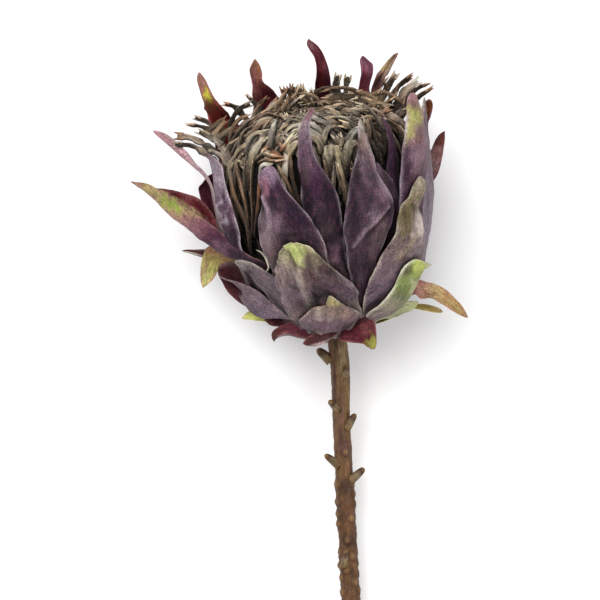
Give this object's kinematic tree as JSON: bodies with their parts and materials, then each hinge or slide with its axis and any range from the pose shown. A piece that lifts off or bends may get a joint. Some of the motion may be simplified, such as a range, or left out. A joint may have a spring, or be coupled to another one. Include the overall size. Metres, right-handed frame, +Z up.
{
  "type": "cut protea bloom on stem",
  "caption": "Dried king protea bloom, lying down: a cup of pointed, overlapping, curled bracts round a dome of packed florets, on a long bare woody stem.",
  "frame": {"origin": "centre of the bounding box's bottom face, on the surface that the flower lies on", "axes": "+Y from the cut end of the stem to the bloom, +Z up from the surface, +X to the right of one who looks down with the bloom at the top"},
  "size_m": [0.1671, 0.4496, 0.1226],
  "materials": {
    "bract": "matt, velvety and wrinkled",
    "floret": "matt and fibrous",
    "stem": "bare dry bark, slight sheen"
  },
  "bodies": {
    "root": {"bracts": "bract", "florets": "floret", "stem": "stem"}
  },
  "joints": []
}
